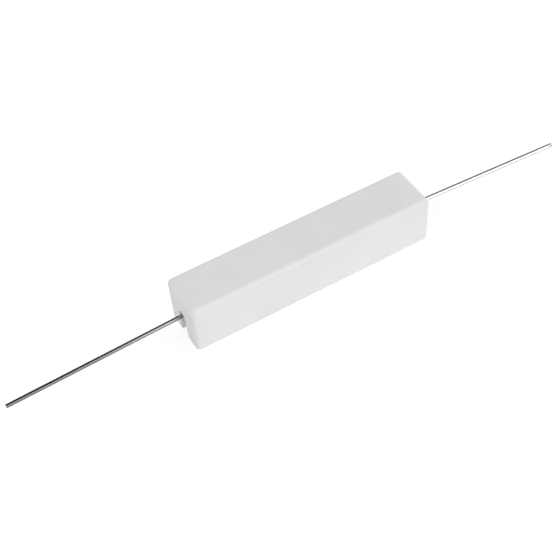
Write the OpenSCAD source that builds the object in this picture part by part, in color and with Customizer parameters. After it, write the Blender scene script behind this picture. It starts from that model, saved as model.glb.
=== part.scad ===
// Axial wirewound power resistor in a rectangular ceramic case filled with cement.
// A wire is wound on a ceramic rod, steel caps close the rod's ends and carry the leads,
// and cement holds this element in the case. The leads leave through slots in the end walls.
// Millimetres. +X runs along the leads, +Z points to the closed top, and z = 0 is the open rim.

/* [Ceramic case] */
// Length of the case, along the leads
case_l = 48; // [40:0.5:75]
// Width of the case
case_w = 9.5; // [9:0.1:14]
// Height of the case, from the open rim to the closed top
case_h = 10; // [9.5:0.1:14]
// Radius of the upright outer corners
corner_r = 0.8; // [0.5:0.05:1.4]
// Radius that rounds the edges of the closed top
crown_r = 0.9; // [0.5:0.05:1.2]
// Width of the step under the crown, where the upper punch met the die
ledge = 0.1; // [0.05:0.05:0.2]
// Radius that breaks the outer edge of the open rim
rim_r = 0.2; // [0.1:0.05:0.3]
// Thickness of the two long walls
side_wall = 1.2; // [0.9:0.1:1.4]
// Thickness of the closed top
top_wall = 1.3; // [0.9:0.1:1.6]
// Thickness of the end walls
end_wall = 1.6; // [1.3:0.1:2]
// Radius of the cavity's upright corners
cavity_r = 0.8; // [0.6:0.05:1.2]
// Radius where the cavity's walls meet its ceiling
ceiling_r = 0.5; // [0.3:0.05:0.6]

/* [Lead slots] */
// Width of the slot in each end wall
slot_w = 2.2; // [1.6:0.1:3]
// How far the centre of the slot's round end lies below the lead
slot_drop = 0.3; // [0:0.1:0.5]

/* [Cement filling] */
// How far the cement's face lies behind the rim
cement_recess = 0.3; // [0.1:0.05:0.6]
// How far the cement lies behind the outer face of an end wall, in the slot
slot_set_back = 1.1; // [0.5:0.1:1.3]

/* [Wound element] */
// Diameter of the ceramic rod
core_d = 3.6; // [2.5:0.1:4]
// Diameter of the resistance wire
wire_d = 0.4; // [0.3:0.05:0.5]
// Distance from one turn of wire to the next
wire_pitch = 1.2; // [1:0.1:2]
// Length of bare rod at each end, past the last turn
bare_end = 0.5; // [0.2:0.1:1]
// Running clearance between the rod, the wire and the caps
seat = 0.05; // [0.02:0.01:0.1]
// Cement between each end cap and the end wall
end_gap = 4; // [2:0.5:8]
// Cement between the end caps and the closed top
roof_gap = 1.3; // [0.8:0.1:1.6]

/* [End caps] */
// Depth of a cap, over the rod's end
cap_l = 5; // [3:0.5:8]
// Thickness of the cap's sheet
cap_t = 0.35; // [0.2:0.05:0.5]
// Outer radius of the cap's drawn shoulder
shoulder_r = 0.7; // [0.55:0.05:1]

/* [Leads] */
// Diameter of the tinned wire
lead_d = 0.75; // [0.6:0.05:1]
// Free length of a lead, from the end wall's outer face
lead_l = 32.5; // [20:0.5:38]
// Straight stretch of a lead outside the case, before its slight bend
elbow_out = 0.6; // [0.4:0.1:2]
// Angle by which the left lead droops after its bend
droop_left = 2.3; // [0.5:0.1:4]
// Angle by which the right lead droops after its bend
droop_right = 3.5; // [0.5:0.1:4]
// Swelling of the wire where it is bent
elbow_swell = 0.03; // [0.02:0.01:0.05]
// Diameter of the butt weld between a lead and its cap
weld_d = 1.4; // [1.2:0.1:2]
// Height of the butt weld
weld_h = 0.4; // [0.2:0.1:0.8]

/* [Hidden] */
$fn = 48;

// How far a cutting shape runs past the face that it opens
over = 1;
// Sides of the wire's section, and straight stretches in one turn
wire_sides = 6;
turn_steps = 16;

cavity_l = case_l - 2 * end_wall;
cavity_w = case_w - 2 * side_wall;
cavity_h = case_h - top_wall;
die_h = case_h - crown_r;

cap_face = cavity_l / 2 - end_gap;
core_l = 2 * (cap_face - cap_t - seat);
turn_r = (core_d / 2 + seat) / cos(180 / turn_steps) + wire_d / 2;
winding_r = turn_r + wire_d / 2;
winding_l = core_l - 2 * bare_end;
cap_bore_r = winding_r + seat;
cap_r = cap_bore_r + cap_t;
cap_mouth = cap_face - cap_l;
lead_z = cavity_h - roof_gap - cap_r;
slot_arc_z = lead_z - slot_drop;
exit_x = case_l / 2 - slot_set_back;
elbow_x = case_l / 2 + elbow_out;

// A section that stands on z = 0, with its two upper corners rounded
module crowned_section(w, h, r) {
    translate([-w / 2, 0])
        square([w, h - r]);
    translate([r - w / 2, 0])
        square([w - 2 * r, h]);
    for (side = [-1, 1])
        translate([side * (w / 2 - r), h - r])
            circle(r = r);
}

// A round puck on z = 0, with its upper edge rounded
module crowned_puck(radius, h, r) {
    rotate_extrude()
        intersection() {
            crowned_section(2 * radius, h, r);
            square([radius, h]);
        }
}

// A pressed block on z = 0: round upright corners, and its upper edge rounded all the way round
module pressed_block(l, w, h, corner, r) {
    rotate([90, 0, 90])
        linear_extrude(l - 2 * corner, center = true)
            crowned_section(w, h, r);
    rotate([90, 0, 0])
        linear_extrude(w - 2 * corner, center = true)
            crowned_section(l, h, r);
    for (x = [-1, 1], y = [-1, 1])
        translate([x * (l / 2 - corner), y * (w / 2 - corner), 0])
            crowned_puck(corner, h, r);
}

// The crown on z = 0, as the punch leaves it: a round along each side, mitred at the corners
module punched_crown(l, w, h, corner, r) {
    intersection() {
        rotate([90, 0, 90])
            linear_extrude(l, center = true)
                crowned_section(w, h, r);
        rotate([90, 0, 0])
            linear_extrude(w, center = true)
                crowned_section(l, h, r);
        linear_extrude(h) {
            square([l - 2 * corner, w], center = true);
            square([l, w - 2 * corner], center = true);
            for (x = [-1, 1], y = [-1, 1])
                translate([x * (l / 2 - corner), y * (w / 2 - corner)])
                    circle(r = corner);
        }
    }
}

// The form of a lead slot: straight sides from from_z, a round end, and running along X
module slot_form(from_x, to_x, from_z) {
    translate([from_x, 0, 0])
        rotate([90, 0, 90])
            linear_extrude(to_x - from_x) {
                translate([-slot_w / 2, from_z])
                    square([slot_w, slot_arc_z - from_z]);
                translate([0, slot_arc_z])
                    circle(d = slot_w);
            }
}

// A straight round bar on the element's axis
module bar(d, from_x, to_x) {
    translate([from_x, 0, lead_z])
        rotate([0, 90, 0])
            cylinder(d = d, h = to_x - from_x);
}

// The same thing at both ends, or at the left end alone
module left_end() {
    mirror([1, 0, 0])
        children();
}

module both_ends() {
    children();
    left_end()
        children();
}

// The body as the die leaves it, a narrower crown from the upper punch, the cavity and the slots
module ceramic_case() {
    color("whitesmoke")
        difference() {
            union() {
                translate([0, 0, die_h])
                    mirror([0, 0, 1])
                        pressed_block(case_l, case_w, die_h, corner_r, rim_r);
                translate([0, 0, case_h / 2])
                    punched_crown(case_l - 2 * ledge, case_w - 2 * ledge, case_h / 2,
                        corner_r - ledge, crown_r);
            }
            translate([0, 0, -over])
                pressed_block(cavity_l, cavity_w, cavity_h + over, cavity_r, ceiling_r);
            both_ends()
                slot_form(cavity_l / 2 - over, case_l / 2 + over, -over);
        }
}

// Cast round the element: fills the cavity and most of each slot
module cement_filling() {
    color("gainsboro")
        difference() {
            union() {
                translate([0, 0, cement_recess])
                    pressed_block(cavity_l, cavity_w, cavity_h - cement_recess, cavity_r, ceiling_r);
                both_ends()
                    slot_form(cavity_l / 2 - over, exit_x, cement_recess);
            }
            bar(2 * winding_r, -cap_mouth, cap_mouth);
            both_ends() {
                cap_form(cap_r, cap_l, shoulder_r);
                lead_root(elbow_x);
            }
        }
}

module core_rod() {
    color("ivory")
        bar(core_d, -core_l / 2, core_l / 2);
}

// The centre of the wire's ring i, and a point of that ring
function turn_angle(i) = 360 * i / turn_steps;
function ring_x(i, rings) = winding_l * (i / rings - 0.5);
function ring_point(i, j, rings) =
    let (b = 360 * j / wire_sides, r = turn_r + wire_d / 2 * cos(b))
    [ring_x(i, rings) + wire_d / 2 * sin(b), r * cos(turn_angle(i)), r * sin(turn_angle(i))];

// One wire in an even helix, from one end of the rod to the other and under both caps
module resistance_winding() {
    rings = round(winding_l / wire_pitch * turn_steps);
    sides = wire_sides;
    color("darkgoldenrod")
        translate([0, 0, lead_z])
            polyhedron(
                points = [for (i = [0:rings], j = [0:sides - 1]) ring_point(i, j, rings)],
                faces = concat(
                    [[for (j = [0:sides - 1]) j]],
                    [for (i = [0:rings - 1], j = [0:sides - 1])
                        [i * sides + j, (i + 1) * sides + j,
                            (i + 1) * sides + (j + 1) % sides, i * sides + (j + 1) % sides]],
                    [[for (j = [sides - 1:-1:0]) rings * sides + j]]
                )
            );
}

// The form of a cap or of its inside: a puck whose rounded edge points outwards
module cap_form(radius, h, r) {
    translate([cap_mouth, 0, lead_z])
        rotate([0, 90, 0])
            crowned_puck(radius, h, r);
}

// A deep-drawn cup, pressed over the wire on the rod's end
module end_cap() {
    color("silver")
        difference() {
            cap_form(cap_r, cap_l, shoulder_r);
            translate([-over, 0, 0])
                cap_form(cap_bore_r, cap_l - cap_t + over, shoulder_r - cap_t);
        }
}

module end_cap_left() {
    left_end()
        end_cap();
}

module end_cap_right() {
    end_cap();
}

// The butt weld on the cap, and the lead's straight stretch up to to_x
module lead_root(to_x) {
    bar(weld_d, cap_face, cap_face + weld_h);
    bar(lead_d, cap_face, to_x);
}

// A lead: its root, a slight bend just outside the case, and the free wire
module lead_form(droop) {
    lead_root(elbow_x);
    translate([elbow_x, 0, lead_z]) {
        sphere(d = lead_d + 2 * elbow_swell);
        rotate([0, 90 + droop, 0])
            cylinder(d = lead_d, h = lead_l - elbow_out);
    }
}

module lead_left() {
    color("lightgray")
        left_end()
            lead_form(droop_left);
}

module lead_right() {
    color("lightgray")
        lead_form(droop_right);
}

ceramic_case();
cement_filling();
core_rod();
resistance_winding();
end_cap_left();
end_cap_right();
lead_left();
lead_right();
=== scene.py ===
import math
import random

import bmesh
import bpy
from mathutils import Matrix, Vector, noise


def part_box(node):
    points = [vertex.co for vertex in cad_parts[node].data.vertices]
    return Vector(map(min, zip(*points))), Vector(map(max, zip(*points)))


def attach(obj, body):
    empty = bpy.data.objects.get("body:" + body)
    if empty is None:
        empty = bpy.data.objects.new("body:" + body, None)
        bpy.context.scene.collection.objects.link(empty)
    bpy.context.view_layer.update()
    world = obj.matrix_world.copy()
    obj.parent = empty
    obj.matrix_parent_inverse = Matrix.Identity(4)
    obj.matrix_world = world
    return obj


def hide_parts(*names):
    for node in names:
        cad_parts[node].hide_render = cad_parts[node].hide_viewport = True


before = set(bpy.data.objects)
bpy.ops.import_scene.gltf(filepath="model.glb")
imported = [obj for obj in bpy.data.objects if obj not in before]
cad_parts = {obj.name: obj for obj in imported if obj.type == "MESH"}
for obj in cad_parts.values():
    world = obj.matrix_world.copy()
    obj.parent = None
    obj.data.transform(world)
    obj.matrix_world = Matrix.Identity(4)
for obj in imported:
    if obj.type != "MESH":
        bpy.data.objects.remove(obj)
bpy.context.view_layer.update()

# The ceramic case: one pressed and fired piece of white steatite, open at the bottom.
# A die forms its walls and an upper punch its narrower, rounded crown, which leaves a fine
# step all the way round. A slot in each end wall lets a lead out.
MM = 0.001
case_low, case_high = (Vector(corner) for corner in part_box("ceramic_case"))
case_length, case_width, case_height = case_high - case_low
corner_radius = 0.8 * MM
crown_radius = 0.9 * MM
ledge = 0.1 * MM
ledge_softness = 0.018 * MM
rim_radius = 0.2 * MM
side_wall = 1.2 * MM
top_wall = 1.3 * MM
end_wall = 1.6 * MM
cavity_radius = 0.8 * MM
ceiling_radius = 0.5 * MM
slot_width = 2.2 * MM
slot_drop = 0.3 * MM
edge_softness = 0.12 * MM
cap_low, cap_high = (Vector(corner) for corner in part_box("end_cap_right"))
lead_height = (cap_low.z + cap_high.z) / 2
slot_top = lead_height - slot_drop + slot_width / 2
corner_steps = 12
ceiling_steps = 6
crown_steps = 10
rim_steps = 4
soft_steps = 4
ledge_steps = 3
sharp_angle = math.radians(50)
overshoot = 1 * MM
near = 0.001 * MM


def pick(piece, kind, wanted):
    """In edit mode, selects the verts, edges or faces of the piece that wanted() accepts."""
    select_mode = {"verts": "VERT", "edges": "EDGE", "faces": "FACE"}[kind]
    bpy.ops.mesh.select_mode(type=select_mode)
    bpy.ops.mesh.select_all(action="DESELECT")
    mesh = bmesh.from_edit_mesh(piece.data)
    for item in getattr(mesh, kind):
        if wanted(item):
            item.select_set(True)
    bmesh.update_edit_mesh(piece.data)


def at_height(edge, z):
    """Whether the whole edge lies at that height."""
    return all(abs(vert.co.z - z) < near for vert in edge.verts)


def is_sharp(edge):
    """Whether the edge turns past the sharp angle, outwards or inwards."""
    return edge.calc_face_angle(0) > sharp_angle


def block(name, low, high):
    """A plain block between two corners, left in edit mode."""
    bpy.ops.object.select_all(action="DESELECT")
    low, high = Vector(low), Vector(high)
    bpy.ops.mesh.primitive_cube_add(size=1, location=(low + high) / 2, scale=high - low)
    made = bpy.context.object
    made.name = made.data.name = name
    bpy.ops.object.transform_apply()
    bpy.ops.object.mode_set(mode="EDIT")
    return made


def round_uprights(piece, radius):
    """Rounds the upright edges of a block, in edit mode."""
    pick(piece, "edges", lambda e: (e.verts[0].co - e.verts[1].co).xy.length < near)
    bpy.ops.mesh.bevel(offset=radius, segments=corner_steps)


def combine(piece, other, how):
    """Cuts the other closed mesh out of the piece, or joins it on, and removes it."""
    step = piece.modifiers.new("combine", "BOOLEAN")
    step.operation = how
    step.solver = "EXACT"
    step.object = other
    bpy.context.view_layer.objects.active = piece
    bpy.ops.object.modifier_apply(modifier=step.name)
    bpy.data.objects.remove(other)


def cavity_form(name, low_z, high_z, gap=0.0):
    """The form of the cavity, or of what fills it with that gap all round."""
    half = Vector((case_length / 2 - end_wall - gap, case_width / 2 - side_wall - gap))
    made = block(name, (-half.x, -half.y, low_z), (half.x, half.y, high_z))
    round_uprights(made, cavity_radius)
    pick(made, "edges", lambda e: at_height(e, high_z))
    bpy.ops.mesh.bevel(offset=ceiling_radius, segments=ceiling_steps)
    bpy.ops.object.mode_set(mode="OBJECT")
    return made


def slot_form(name, side, inner_x, outer_x, low_z, gap=0.0):
    """The form of a lead slot at one end, or of what fills it: straight sides and a round top."""
    ends = sorted((side * inner_x, side * outer_x))
    half = slot_width / 2 - gap
    high_z = slot_top - gap
    made = block(name, (ends[0], -half, low_z), (ends[1], half, high_z))
    pick(made, "edges", lambda e: at_height(e, high_z)
         and abs(e.verts[0].co.y - e.verts[1].co.y) < near)
    bpy.ops.mesh.bevel(offset=half - near, segments=corner_steps)
    bpy.ops.object.mode_set(mode="OBJECT")
    return made


def finish_smooth(piece, angle):
    """Smooth shading that keeps flat faces flat, and edges sharp past that angle in degrees."""
    bpy.ops.object.select_all(action="DESELECT")
    piece.select_set(True)
    bpy.context.view_layer.objects.active = piece
    bpy.ops.object.shade_smooth_by_angle(angle=math.radians(angle))
    step = piece.modifiers.new("weighted", "WEIGHTED_NORMAL")
    step.keep_sharp = True
    bpy.ops.object.modifier_apply(modifier=step.name)


die_height = case_height - crown_radius
case = block("case_shell", (case_low.x, case_low.y, 0), (case_high.x, case_high.y, die_height))
round_uprights(case, corner_radius)
pick(case, "faces", lambda f: abs(f.calc_center_median().z - die_height) < near)
bpy.ops.mesh.inset(thickness=ledge)
half = Vector((case_length / 2 - ledge, case_width / 2 - ledge))
lift = inward = 0.0
for i in range(1, crown_steps + 1):
    angle = math.pi / 2 * i / crown_steps
    higher = crown_radius * math.sin(angle)
    further = crown_radius * (1 - math.cos(angle))
    bpy.ops.mesh.extrude_region_move(TRANSFORM_OT_translate={"value": (0, 0, higher - lift)})
    bpy.ops.transform.resize(value=((half.x - further) / (half.x - inward),
                                    (half.y - further) / (half.y - inward), 1),
                             center_override=(0, 0, die_height + higher))
    lift, inward = higher, further
pick(case, "edges", lambda e: at_height(e, die_height)
     and any(f.calc_center_median().z < die_height - near for f in e.link_faces))
bpy.ops.mesh.bevel(offset=ledge_softness, segments=ledge_steps)
pick(case, "edges", lambda e: at_height(e, 0))
bpy.ops.mesh.bevel(offset=rim_radius, segments=rim_steps)
bpy.ops.object.mode_set(mode="OBJECT")
combine(case, cavity_form("cavity", -overshoot, case_height - top_wall), "DIFFERENCE")
for side in (-1, 1):
    cutter = slot_form("slot", side, case_length / 2 - end_wall - overshoot,
                       case_length / 2 + overshoot, -overshoot)
    combine(case, cutter, "DIFFERENCE")
bpy.ops.object.mode_set(mode="EDIT")
pick(case, "edges", lambda e: is_sharp(e)
     and max(vert.co.z for vert in e.verts) < die_height - near)
bpy.ops.mesh.bevel(offset=edge_softness, segments=soft_steps)
pick(case, "edges", lambda e: is_sharp(e) and at_height(e, die_height))
bpy.ops.mesh.bevel(offset=ledge_softness, segments=ledge_steps)
bpy.ops.object.mode_set(mode="OBJECT")
finish_smooth(case, angle=35)


def linear(code):
    """A colour written as sRGB hex, as the linear values that shaders take."""
    parts = [int(code[i:i + 2], 16) / 255 for i in (0, 2, 4)]
    return [c / 12.92 if c <= 0.04045 else ((c + 0.055) / 1.055) ** 2.4 for c in parts] + [1]


def new_material(name):
    made = bpy.data.materials.new(name)
    made.use_nodes = True
    made.node_tree.nodes.clear()
    return made


def add(material, kind, settings=(), links=()):
    """Adds one node. Settings are its properties or its unlinked sockets, links go into others."""
    made = material.node_tree.nodes.new("ShaderNode" + kind)
    for key, value in dict(settings).items():
        if isinstance(key, str) and hasattr(made, key):
            setattr(made, key, value)
        else:
            made.inputs[key].default_value = value
    for key, source in dict(links).items():
        material.node_tree.links.new(source, made.inputs[key])
    return made


def per_mm(size):
    """The scale of a noise whose features are that many millimetres across."""
    return 1 / (size * MM)


# Pressed and fired steatite, unglazed: a dense white body with a fine grain that gives it a
# soft, faintly silky matte look, cloudy by a hair, with a few grey specks from the clay.
# These sizes are in millimetres. The real grain is finer, and is drawn as coarse as it shows.
grain_size = 0.18
ripple_size = 1.6
cloud_size = 7.0
speck_size = 0.9
ceramic = new_material("pressed_steatite")
place = add(ceramic, "TexCoord").outputs["Object"]
cloud = add(ceramic, "TexNoise", {"Scale": per_mm(cloud_size), "Detail": 3.0}, {"Vector": place})
tint = add(ceramic, "ValToRGB", {}, {"Fac": cloud.outputs["Fac"]})
tint.color_ramp.elements[0].position = 0.3
tint.color_ramp.elements[0].color = linear("ececec")
tint.color_ramp.elements[1].position = 0.7
tint.color_ramp.elements[1].color = linear("f1f1f1")
specks = add(ceramic, "TexVoronoi", {"Scale": per_mm(speck_size)}, {"Vector": place})
is_speck = add(ceramic, "MapRange", {"From Min": 0.07, "From Max": 0.04, "To Max": 0.35},
               {"Value": specks.outputs["Distance"]})
ceramic_colour = add(ceramic, "Mix", {"data_type": "RGBA"},
                     {0: is_speck.outputs[0], 6: tint.outputs["Color"]})
ceramic_colour.inputs[7].default_value = linear("bababa")
grain = add(ceramic, "TexNoise", {"Scale": per_mm(grain_size), "Detail": 4.0, "Roughness": 0.6},
            {"Vector": place})
grain_bump = add(ceramic, "Bump", {"Strength": 0.25, "Distance": 0.03 * MM},
                 {"Height": grain.outputs["Fac"]})
ripple = add(ceramic, "TexNoise", {"Scale": per_mm(ripple_size), "Detail": 2.0}, {"Vector": place})
ripple_bump = add(ceramic, "Bump", {"Strength": 0.25, "Distance": 0.05 * MM},
                  {"Height": ripple.outputs["Fac"], "Normal": grain_bump.outputs["Normal"]})
polish = add(ceramic, "MapRange", {"To Min": 0.7, "To Max": 0.8},
             {"Value": cloud.outputs["Fac"]})
ceramic_surface = add(ceramic, "BsdfPrincipled", {"IOR": 1.58},
                      {"Base Color": ceramic_colour.outputs[2],
                       "Roughness": polish.outputs[0],
                       "Normal": ripple_bump.outputs["Normal"]})
add(ceramic, "OutputMaterial", {}, {"Surface": ceramic_surface.outputs["BSDF"]})
case.data.materials.append(ceramic)
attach(case, "root")
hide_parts("ceramic_case")

# The cement filling: a silicone-bound quartz cement, poured round the element and baked.
# It sags a little in the middle, creeps up the walls at its edge, and is left with pinholes
# where air came out. It also closes each slot round its lead.
cement_recess = 0.3 * MM
slot_set_back = 1.1 * MM
cement_gap = 0.02 * MM
cement_voxel = 0.15 * MM
creep_height = 0.17 * MM
creep_reach = 0.4 * MM
slot_creep = 1.6 * creep_height
slot_sink = 0.1 * MM
wire_ring = 0.4 * MM
sag = 0.12 * MM
fine_size, fine_depth = 0.35 * MM, 0.02 * MM
broad_size, broad_depth = 2.5 * MM, 0.05 * MM
pinhole_count = 34
pinhole_least, pinhole_most = 0.16, 0.42
pinhole_depth = 0.8
cement = cavity_form("cement_cast", cement_recess, case_height - top_wall - cement_gap, cement_gap)
for side in (-1, 1):
    plug = slot_form("plug", side, case_length / 2 - end_wall - overshoot,
                     case_length / 2 - slot_set_back, cement_recess, cement_gap)
    combine(cement, plug, "UNION")
remesh = cement.modifiers.new("remesh", "REMESH")
remesh.mode = "VOXEL"
remesh.voxel_size = cement_voxel
bpy.context.view_layer.objects.active = cement
bpy.ops.object.modifier_apply(modifier=remesh.name)
rng = random.Random(7)
half_l = case_length / 2 - end_wall
half_w = case_width / 2 - side_wall
pinholes = [(Vector((rng.uniform(-half_l, half_l), rng.uniform(-half_w, half_w))),
             rng.uniform(pinhole_least, pinhole_most) * MM) for _ in range(pinhole_count)]
facing = [vert.normal.copy() for vert in cement.data.vertices]
for vert, normal in zip(cement.data.vertices, facing):
    co = vert.co
    rough = (noise.noise(co / fine_size) * fine_depth
             + noise.noise(co / broad_size) * broad_depth)
    if normal.z < -0.5 and co.z < cement_recess + cement_voxel and abs(co.x) < half_l:
        edge = min(half_w - abs(co.y), half_l - abs(co.x))
        inward = min(edge / half_w, 1)
        co.z += sag * inward - creep_height * math.exp(-max(edge, 0) / creep_reach) + rough
        for centre, radius in pinholes:
            near_by = (co.xy - centre).length / radius
            if near_by < 1:
                co.z += radius * pinhole_depth * math.sqrt(1 - near_by * near_by)
    elif abs(co.x) > half_l and abs(normal.x) > 0.5:
        edge = min(slot_width / 2 - abs(co.y), slot_top - co.z)
        wire = math.hypot(co.y, co.z - lead_height)
        creep = (math.exp(-max(edge, 0) / creep_reach)
                 + math.exp(-max(wire - wire_ring, 0) / creep_reach))
        co.x += math.copysign(slot_creep * creep + rough - slot_sink, co.x)
finish_smooth(cement, angle=60)

# Baked quartz cement: a dry and sandy matt grey, in slightly darker and paler patches.
sand_size = 0.16
patch_size = 3.5
cast = new_material("baked_quartz_cement")
place = add(cast, "TexCoord").outputs["Object"]
patches = add(cast, "TexNoise", {"Scale": per_mm(patch_size), "Detail": 5.0, "Roughness": 0.65},
              {"Vector": place})
cast_tint = add(cast, "ValToRGB", {}, {"Fac": patches.outputs["Fac"]})
cast_tint.color_ramp.elements[0].position = 0.3
cast_tint.color_ramp.elements[0].color = linear("adaba7")
cast_tint.color_ramp.elements[1].position = 0.72
cast_tint.color_ramp.elements[1].color = linear("c6c4c0")
sand = add(cast, "TexVoronoi", {"Scale": per_mm(sand_size)}, {"Vector": place})
sand_tint = add(cast, "MapRange", {"From Max": 0.9, "To Min": 0.82, "To Max": 1.08},
                {"Value": sand.outputs["Distance"]})
cast_colour = add(cast, "Mix", {"data_type": "RGBA", "blend_type": "MULTIPLY", 0: 0.6},
                  {6: cast_tint.outputs["Color"], 7: sand_tint.outputs[0]})
sand_bump = add(cast, "Bump", {"Strength": 0.6, "Distance": 0.06 * MM},
                {"Height": sand.outputs["Distance"]})
patch_bump = add(cast, "Bump", {"Strength": 0.5, "Distance": 0.12 * MM},
                 {"Height": patches.outputs["Fac"], "Normal": sand_bump.outputs["Normal"]})
cast_surface = add(cast, "BsdfPrincipled", {"IOR": 1.5, "Roughness": 0.88},
                   {"Base Color": cast_colour.outputs[2], "Normal": patch_bump.outputs["Normal"]})
add(cast, "OutputMaterial", {}, {"Surface": cast_surface.outputs["BSDF"]})
cement.data.materials.append(cast)
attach(cement, "root")
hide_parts("cement_filling")

# The leads: hot-tinned copper wire, drawn and then cut with side cutters. Each leaves its slot
# straight, bends down a little just outside, and ends in a pinched cut that bares the copper.
# The tin close to the case is darkened with painted shade, where the lead goes into its slot.
lead_radius = 0.375 * MM
lead_length = 32.5 * MM
lead_root = 1.9 * MM
elbow_out = 0.6 * MM
bend_radius = 3 * MM
droops = {"left": 2.3, "right": 3.5}
tip_pinch = 0.12 * MM
tip_flatness = 0.7
wire_sides = 28
bend_steps = 4
free_steps = 22
# The painted shade on the tin: full at the first distance out from the case, gone at the second.
painted_shade_start = 0.2 * MM
painted_shade_end = 2.4 * MM
line_size = 0.09
line_stretch = 0.012
dull_size = 1.4


def tinned_wire(name, droop):
    """Tin over copper: bright, with drawing lines along the wire, dull patches, and painted shade
    close to the case.

    The real drawing lines are finer, and are drawn as coarse as they need to be to show.
    """
    made = new_material(name)
    place = add(made, "TexCoord").outputs["Object"]
    along = add(made, "Mapping", {"vector_type": "TEXTURE", "Rotation": (0, droop, 0)},
                {"Vector": place})
    stretched = add(made, "Mapping", {"Scale": (line_stretch, 1, 1)},
                    {"Vector": along.outputs["Vector"]})
    lines = add(made, "TexNoise", {"Scale": per_mm(line_size), "Detail": 3.0},
                {"Vector": stretched.outputs["Vector"]})
    line_bump = add(made, "Bump", {"Strength": 0.12, "Distance": 0.012 * MM},
                    {"Height": lines.outputs["Fac"]})
    dull = add(made, "TexNoise", {"Scale": per_mm(dull_size), "Detail": 4.0, "Roughness": 0.6},
               {"Vector": along.outputs["Vector"]})
    shade = add(made, "ValToRGB", {}, {"Fac": dull.outputs["Fac"]})
    shade.color_ramp.elements[0].position = 0.35
    shade.color_ramp.elements[0].color = linear("d6d7d8")
    shade.color_ramp.elements[1].position = 0.7
    shade.color_ramp.elements[1].color = linear("e2e3e4")
    # Painted shade: the tin darkens towards the case, down to 8a8987 next to the slot.
    inward = add(made, "SeparateXYZ", {}, {"Vector": place})
    distance = add(made, "Math", {"operation": "ABSOLUTE"}, {0: inward.outputs["X"]})
    painted_root_shade = add(made, "MapRange", {"From Min": case_length / 2 + painted_shade_end,
                                     "From Max": case_length / 2 + painted_shade_start},
                  {"Value": distance.outputs[0]})
    tint = add(made, "Mix", {"data_type": "RGBA"},
               {0: painted_root_shade.outputs[0], 6: shade.outputs["Color"]})
    tint.inputs[7].default_value = linear("8a8987")
    gloss = add(made, "MapRange",
                {"From Min": 0.3, "From Max": 0.7, "To Min": 0.18, "To Max": 0.14},
                {"Value": dull.outputs["Fac"]})
    surface = add(made, "BsdfPrincipled", {"Metallic": 1.0},
                  {"Base Color": tint.outputs[2], "Roughness": gloss.outputs[0],
                   "Normal": line_bump.outputs["Normal"]})
    add(made, "OutputMaterial", {}, {"Surface": surface.outputs["BSDF"]})
    return made


# Sheared copper: the warm, torn face of the cut, rougher than the tin round it.
shear_size = 0.12
copper = new_material("sheared_copper")
place = add(copper, "TexCoord").outputs["Object"]
shear = add(copper, "TexNoise", {"Scale": per_mm(shear_size), "Detail": 3.0}, {"Vector": place})
shear_tint = add(copper, "ValToRGB", {}, {"Fac": shear.outputs["Fac"]})
shear_tint.color_ramp.elements[0].color = linear("9c6a4e")
shear_tint.color_ramp.elements[1].color = linear("c79473")
shear_bump = add(copper, "Bump", {"Strength": 0.4, "Distance": 0.02 * MM},
                 {"Height": shear.outputs["Fac"]})
shear_surface = add(copper, "BsdfPrincipled", {"Metallic": 1.0, "Roughness": 0.42},
                    {"Base Color": shear_tint.outputs["Color"],
                     "Normal": shear_bump.outputs["Normal"]})
add(copper, "OutputMaterial", {}, {"Surface": shear_surface.outputs["BSDF"]})

for side_name, droop in droops.items():
    side = -1 if side_name == "left" else 1
    droop = math.radians(droop)
    ahead = Vector((side * math.cos(droop), 0, -math.sin(droop)))
    root_x = side * (case_length / 2 - lead_root)
    bend_half = bend_radius * math.tan(droop / 2)
    bend_start = side * (case_length / 2 + elbow_out - bend_half)
    bpy.ops.object.select_all(action="DESELECT")
    bpy.ops.mesh.primitive_circle_add(vertices=wire_sides, radius=lead_radius, fill_type="NGON",
                                      location=(root_x, 0, lead_height),
                                      rotation=(0, side * math.pi / 2, 0))
    wire = bpy.context.object
    wire.name = wire.data.name = "tinned_lead_" + side_name
    bpy.ops.object.transform_apply()
    bpy.ops.object.mode_set(mode="EDIT")
    bpy.ops.mesh.select_all(action="SELECT")
    bpy.ops.mesh.extrude_region_move(
        TRANSFORM_OT_translate={"value": (bend_start - root_x, 0, 0)})
    bpy.ops.mesh.spin(steps=bend_steps, angle=-side * droop, axis=(0, 1, 0),
                      center=(bend_start, 0, lead_height - bend_radius))
    stride = (lead_length - elbow_out - bend_half - tip_pinch) / free_steps
    for _ in range(free_steps):
        bpy.ops.mesh.extrude_region_move(TRANSFORM_OT_translate={"value": ahead * stride})
    mesh = bmesh.from_edit_mesh(wire.data)
    end_ring = [vert.co.copy() for vert in mesh.verts if vert.select]
    tip = sum(end_ring, Vector()) / len(end_ring)
    bpy.ops.mesh.extrude_region_move(TRANSFORM_OT_translate={"value": ahead * tip_pinch})
    bpy.ops.transform.resize(value=(1, 1, tip_flatness), center_override=tip + ahead * tip_pinch)
    bpy.ops.mesh.select_all(action="SELECT")
    bpy.ops.mesh.normals_make_consistent(inside=False)
    bpy.ops.object.mode_set(mode="OBJECT")
    wire.data.materials.append(tinned_wire("tinned_copper_wire_" + side_name, side * droop))
    wire.data.materials.append(copper)
    cut_face = max(wire.data.polygons, key=lambda f: f.center.dot(ahead))
    cut_face.material_index = 1
    finish_smooth(wire, angle=40)
    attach(wire, "root")
    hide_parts("lead_" + side_name)

# The wound element, sealed in the cement: a ceramic rod, a resistance wire round it, and
# drawn steel caps pressed over both ends. It keeps its solids and takes its real finishes.

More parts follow.
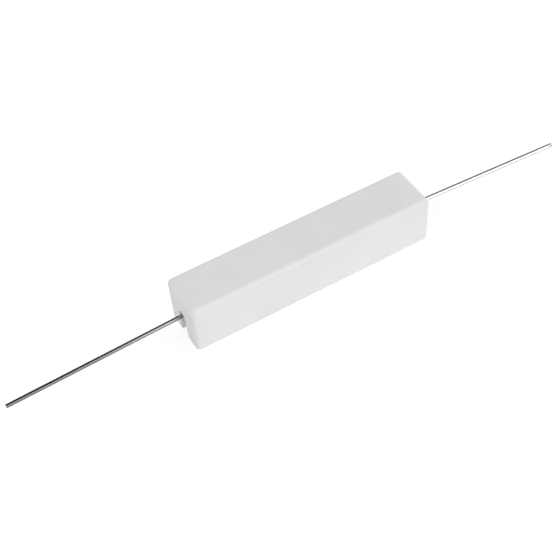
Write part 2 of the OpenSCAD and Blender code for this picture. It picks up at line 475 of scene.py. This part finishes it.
# Porous alumina: a chalky, off-white fired body with fine pores.
pore_size = 0.25
rod_body = new_material("porous_alumina_rod")
place = add(rod_body, "TexCoord").outputs["Object"]
pores = add(rod_body, "TexNoise", {"Scale": per_mm(pore_size), "Detail": 4.0}, {"Vector": place})
rod_tint = add(rod_body, "ValToRGB", {}, {"Fac": pores.outputs["Fac"]})
rod_tint.color_ramp.elements[0].color = linear("dcd9d0")
rod_tint.color_ramp.elements[1].color = linear("efede6")
rod_bump = add(rod_body, "Bump", {"Strength": 0.4, "Distance": 0.04 * MM},
               {"Height": pores.outputs["Fac"]})
rod_surface = add(rod_body, "BsdfPrincipled", {"IOR": 1.6, "Roughness": 0.75},
                  {"Base Color": rod_tint.outputs["Color"], "Normal": rod_bump.outputs["Normal"]})
add(rod_body, "OutputMaterial", {}, {"Surface": rod_surface.outputs["BSDF"]})

# Nickel-chrome wire, oxidised by heat: a dull, patchy, brownish grey metal.
oxide_size = 0.8
alloy = new_material("oxidised_nickel_chrome_wire")
place = add(alloy, "TexCoord").outputs["Object"]
oxide = add(alloy, "TexNoise", {"Scale": per_mm(oxide_size), "Detail": 4.0}, {"Vector": place})
oxide_tint = add(alloy, "ValToRGB", {}, {"Fac": oxide.outputs["Fac"]})
oxide_tint.color_ramp.elements[0].color = linear("6f6a60")
oxide_tint.color_ramp.elements[1].color = linear("a69c88")
alloy_surface = add(alloy, "BsdfPrincipled", {"Metallic": 1.0, "Roughness": 0.4},
                    {"Base Color": oxide_tint.outputs["Color"]})
add(alloy, "OutputMaterial", {}, {"Surface": alloy_surface.outputs["BSDF"]})

# Tinned steel, deep-drawn: a satin metal with fine lines along the draw.
draw_line_size = 0.15
draw_stretch = 0.05
cap_steel = new_material("tinned_deep_drawn_steel")
place = add(cap_steel, "TexCoord").outputs["Object"]
drawn = add(cap_steel, "Mapping", {"Scale": (draw_stretch, 1, 1)}, {"Vector": place})
draw_lines = add(cap_steel, "TexNoise", {"Scale": per_mm(draw_line_size), "Detail": 3.0},
                 {"Vector": drawn.outputs["Vector"]})
cap_tint = add(cap_steel, "ValToRGB", {}, {"Fac": draw_lines.outputs["Fac"]})
cap_tint.color_ramp.elements[0].color = linear("a9a9a8")
cap_tint.color_ramp.elements[1].color = linear("c9c9c7")
cap_bump = add(cap_steel, "Bump", {"Strength": 0.3, "Distance": 0.02 * MM},
               {"Height": draw_lines.outputs["Fac"]})
cap_surface = add(cap_steel, "BsdfPrincipled", {"Metallic": 1.0, "Roughness": 0.35},
                  {"Base Color": cap_tint.outputs["Color"], "Normal": cap_bump.outputs["Normal"]})
add(cap_steel, "OutputMaterial", {}, {"Surface": cap_surface.outputs["BSDF"]})

inner_finishes = {"core_rod": rod_body, "resistance_winding": alloy,
                  "end_cap_left": cap_steel, "end_cap_right": cap_steel}
for name, finish in inner_finishes.items():
    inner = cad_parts[name]
    inner.data.materials.clear()
    inner.data.materials.append(finish)

# The floor: a plain white table. The camera sees it as the white of the photograph, with the
# soft shadow of the case still on it, and metal reflects the same white. It is painted on its
# upper side alone, so that the open side of the case shows from below.
table_size = 6
table_drop = 0.02 * MM


def seen_rays(material):
    """Adds what tells rays from the camera, polished metal and glass from all others."""
    rays = add(material, "LightPath").outputs
    direct = add(material, "Math", {"operation": "MAXIMUM"},
                 {0: rays["Is Camera Ray"], 1: rays["Is Glossy Ray"]})
    return add(material, "Math", {"operation": "MAXIMUM"},
               {0: direct.outputs[0], 1: rays["Is Transmission Ray"]}).outputs[0]


bpy.ops.object.select_all(action="DESELECT")
bpy.ops.mesh.primitive_plane_add(size=table_size, location=(0, 0, -table_drop))
floor = bpy.context.object
floor.name = "floor"
table_top = new_material("white_table")
seen = seen_rays(table_top)
paint = add(table_top, "BsdfDiffuse", {"Color": linear("e8e8e8")})
pale = add(table_top, "BsdfDiffuse", {"Color": linear("8c8c8c")})
glow = add(table_top, "Emission", {"Color": (1, 1, 1, 1), "Strength": 0.8})
bright = add(table_top, "AddShader", {}, {0: pale.outputs[0], 1: glow.outputs[0]})
upper = add(table_top, "MixShader", {}, {0: seen, 1: paint.outputs[0], 2: bright.outputs[0]})
lower = add(table_top, "BsdfTransparent")
side_below = add(table_top, "NewGeometry").outputs["Backfacing"]
sheet = add(table_top, "MixShader", {}, {0: side_below, 1: upper.outputs[0], 2: lower.outputs[0]})
add(table_top, "OutputMaterial", {}, {"Surface": sheet.outputs[0]})
floor.data.materials.append(table_top)

# The light: an even pale room, a soft box in front of the case and a weaker one at its left
# end. Grey and black cards stand and lie round the case, as they do in a studio, and give the
# polished leads their dark and pale lines. Places and sizes are in metres.
scene = bpy.context.scene
room = bpy.data.worlds.new("room")
room.use_nodes = True
room.node_tree.nodes.clear()
strength = add(room, "MapRange", {"To Min": 0.765, "To Max": 1.0}, {"Value": seen_rays(room)})
sky = add(room, "Background", {"Color": (1, 1, 1, 1)}, {"Strength": strength.outputs[0]})
add(room, "OutputWorld", {}, {"Surface": sky.outputs[0]})
scene.world = room


def soft_box(name, place, size, power):
    """A round lamp that points at the case."""
    bpy.ops.object.select_all(action="DESELECT")
    bpy.ops.object.light_add(type="AREA", location=place)
    lamp = bpy.context.object
    lamp.name = name
    lamp.data.shape = "DISK"
    lamp.data.size = size
    lamp.data.energy = power
    lamp.rotation_euler = (-Vector(place)).to_track_quat("-Z", "Y").to_euler()


def card(name, low, high, shade):
    """A card between two corners, of an even brightness that shows in polished metal alone."""
    bpy.ops.object.select_all(action="DESELECT")
    low, high = Vector(low), Vector(high)
    bpy.ops.mesh.primitive_cube_add(size=1, location=(low + high) / 2, scale=high - low)
    made = bpy.context.object
    made.name = name
    board = new_material(name + "_paint")
    board.cycles.emission_sampling = "NONE"
    coat = add(board, "Emission", {"Color": linear(shade)})
    add(board, "OutputMaterial", {}, {"Surface": coat.outputs[0]})
    made.data.materials.append(board)
    made.visible_camera = made.visible_diffuse = made.visible_shadow = False
    made.visible_transmission = made.visible_volume_scatter = False
    return made


card_thickness = 0.00005
behind_leads = 0.003
before_leads = -0.0015
card("black_card_behind", (-1.5, 0.3, 0.0), (0.8, 0.31, 1.2), "202020")
card("black_card_above", (-1.5, -0.25, 1.1), (0.3, 0.31, 1.11), "202020")
card("black_card_above_in_front", (-1.5, -0.7, 1.1), (0.06, -0.25, 1.11), "202020")
card("black_card_at_right", (0.8, 0.14, 0.4), (0.81, 0.3, 1.2), "404040")
card("grey_card_at_left", (-0.2, -0.5, 0.0), (-0.037, before_leads, card_thickness), "7c7c7c")
card("pale_card_at_left", (-0.037, -0.5, 0.0), (-0.021, before_leads, card_thickness), "989898")
card("grey_card_in_front", (-1.5, -0.51, 0.0), (0.03, -0.5, 0.6), "b2b2b2")
card("pale_card_in_front", (0.03, -0.51, 0.0), (0.12, -0.5, 0.3), "ececec")
card("pale_card_at_right", (0.027, -0.5, 0.0), (0.2, behind_leads, card_thickness), "cccccc")
soft_box("front_soft_box", (0.75, -1.15, 0.16), size=0.44, power=4.8)
soft_box("end_soft_box", (-0.9, -0.2, 0.35), size=0.6, power=0.75)

# Glowing sheets under the case: they light its open side for a view from below, and leave the
# slots dark. They lie in the hair's breadth between the rim and the table.
sheet_low = -0.75 * table_drop
sheet_high = -0.5 * table_drop
inner_end = case_length / 2 - slot_set_back
sheets = {"glow_under_case": ((-inner_end, case_low.y), (inner_end, case_high.y))}
slot_ends = {"left": (-case_length / 2, -inner_end), "right": (inner_end, case_length / 2)}
for end_name, (from_x, to_x) in slot_ends.items():
    sheets["glow_behind_slot_" + end_name] = ((from_x, slot_width / 2), (to_x, case_high.y))
    sheets["glow_before_slot_" + end_name] = ((from_x, case_low.y), (to_x, -slot_width / 2))
for name, (low, high) in sheets.items():
    glow_sheet = card(name, (*low, sheet_low), (*high, sheet_high), "e4e4e4")
    glow_sheet.visible_diffuse = True

# The camera: above and to the left of the case, with the slight roll of the photograph.
camera_place = Vector((-59.15, -108.145, 144.95)) * MM
camera_aim = Vector((-6.09, -1.564, 5.0)) * MM
camera_roll = math.radians(-5.117)
focal_length = 68.43
film_width = 36
nearest_seen = 10 * MM
bpy.ops.object.select_all(action="DESELECT")
bpy.ops.object.camera_add(location=camera_place)
camera = bpy.context.object
turn = (camera_aim - camera_place).to_track_quat("-Z", "Y").to_matrix()
camera.rotation_euler = (turn @ Matrix.Rotation(camera_roll, 3, "Z")).to_euler()
camera.data.lens = focal_length
camera.data.sensor_width = film_width
camera.data.clip_start = nearest_seen
scene.camera = camera
scene.view_settings.view_transform = "Standard"
